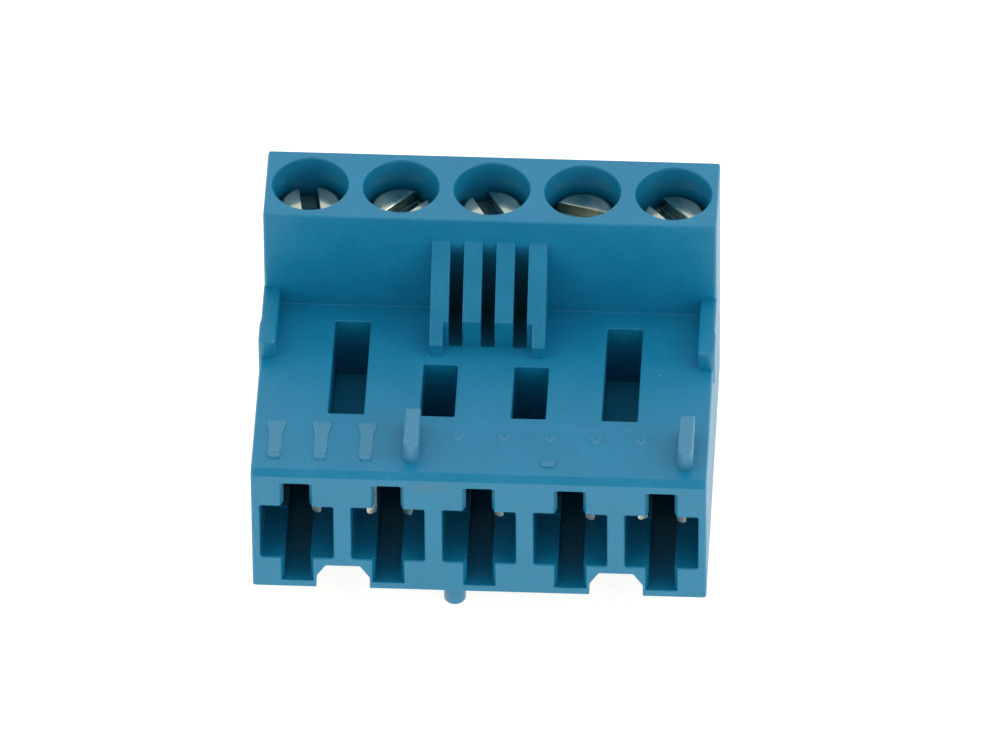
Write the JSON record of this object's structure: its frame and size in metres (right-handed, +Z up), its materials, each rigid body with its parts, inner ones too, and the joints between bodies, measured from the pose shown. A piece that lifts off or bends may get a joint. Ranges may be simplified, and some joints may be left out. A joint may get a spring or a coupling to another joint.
{
  "type": "pluggable screw terminal connector",
  "caption": "Pluggable connector block in blue plastic, with slotted screws over rising clamp cages and cavities for upright blade tabs.",
  "frame": {"origin": "centre of the housing's flat underside", "axes": "+Z up, out of the top face with the screw holes; -Y out of the mating face; +Y out of the wire side; +X along the row of poles, to the right seen from the mating face"},
  "size_m": [0.0252, 0.0188, 0.0166],
  "materials": {
    "blue_polyamide": "finely textured mid-blue polyamide with a soft satin sheen",
    "zinc_plated_steel": "bright zinc-plated steel with fine turning marks",
    "nickel_plated_steel": "satin nickel-plated steel",
    "tinned_copper_alloy": "warm satin tin plate over copper alloy",
    "stainless_spring_steel": "plain stainless spring steel"
  },
  "bodies": {
    "housing": {"housing": "blue_polyamide", "contact_1": "tinned_copper_alloy", "contact_2": "tinned_copper_alloy", "contact_3": "tinned_copper_alloy", "contact_4": "tinned_copper_alloy", "contact_5": "tinned_copper_alloy", "helper_spring_1": "stainless_spring_steel", "helper_spring_2": "stainless_spring_steel", "helper_spring_3": "stainless_spring_steel", "helper_spring_4": "stainless_spring_steel", "helper_spring_5": "stainless_spring_steel"},
    "terminal_screw_1": {"terminal_screw_1": "zinc_plated_steel"},
    "clamp_cage_1": {"clamp_cage_1": "nickel_plated_steel"},
    "terminal_screw_2": {"terminal_screw_2": "zinc_plated_steel"},
    "clamp_cage_2": {"clamp_cage_2": "nickel_plated_steel"},
    "terminal_screw_3": {"terminal_screw_3": "zinc_plated_steel"},
    "clamp_cage_3": {"clamp_cage_3": "nickel_plated_steel"},
    "terminal_screw_4": {"terminal_screw_4": "zinc_plated_steel"},
    "clamp_cage_4": {"clamp_cage_4": "nickel_plated_steel"},
    "terminal_screw_5": {"terminal_screw_5": "zinc_plated_steel"},
    "clamp_cage_5": {"clamp_cage_5": "nickel_plated_steel"}
  },
  "joints": [
    {"name": "screw_turn_1", "type": "hinge", "parent": "housing", "child": "terminal_screw_1", "pos_m": [-0.01, 0.00681, 0.0129], "axis": [0, 0, -1], "range_deg": [0, 1442]},
    {"name": "cage_rise_1", "type": "slide", "parent": "housing", "child": "clamp_cage_1", "axis": [0, 0, 1], "range_m": [0, 0.002]},
    {"name": "screw_turn_2", "type": "hinge", "parent": "housing", "child": "terminal_screw_2", "pos_m": [-0.005, 0.00681, 0.0129], "axis": [0, 0, -1], "range_deg": [0, 1442]},
    {"name": "cage_rise_2", "type": "slide", "parent": "housing", "child": "clamp_cage_2", "axis": [0, 0, 1], "range_m": [0, 0.002]},
    {"name": "screw_turn_3", "type": "hinge", "parent": "housing", "child": "terminal_screw_3", "pos_m": [0, 0.00681, 0.0129], "axis": [0, 0, -1], "range_deg": [0, 1442]},
    {"name": "cage_rise_3", "type": "slide", "parent": "housing", "child": "clamp_cage_3", "axis": [0, 0, 1], "range_m": [0, 0.002]},
    {"name": "screw_turn_4", "type": "hinge", "parent": "housing", "child": "terminal_screw_4", "pos_m": [0.005, 0.00681, 0.0129], "axis": [0, 0, -1], "range_deg": [0, 1442]},
    {"name": "cage_rise_4", "type": "slide", "parent": "housing", "child": "clamp_cage_4", "axis": [0, 0, 1], "range_m": [0, 0.002]},
    {"name": "screw_turn_5", "type": "hinge", "parent": "housing", "child": "terminal_screw_5", "pos_m": [0.01, 0.00681, 0.0129], "axis": [0, 0, -1], "range_deg": [0, 1442]},
    {"name": "cage_rise_5", "type": "slide", "parent": "housing", "child": "clamp_cage_5", "axis": [0, 0, 1], "range_m": [0, 0.002]}
  ],
  "couplings": [
    {"joint": "screw_turn_1", "follows": "cage_rise_1", "rad_per_m": 12566},
    {"joint": "screw_turn_2", "follows": "cage_rise_2", "rad_per_m": 12566},
    {"joint": "screw_turn_3", "follows": "cage_rise_3", "rad_per_m": 12566},
    {"joint": "screw_turn_4", "follows": "cage_rise_4", "rad_per_m": 12566},
    {"joint": "screw_turn_5", "follows": "cage_rise_5", "rad_per_m": 12566}
  ]
}
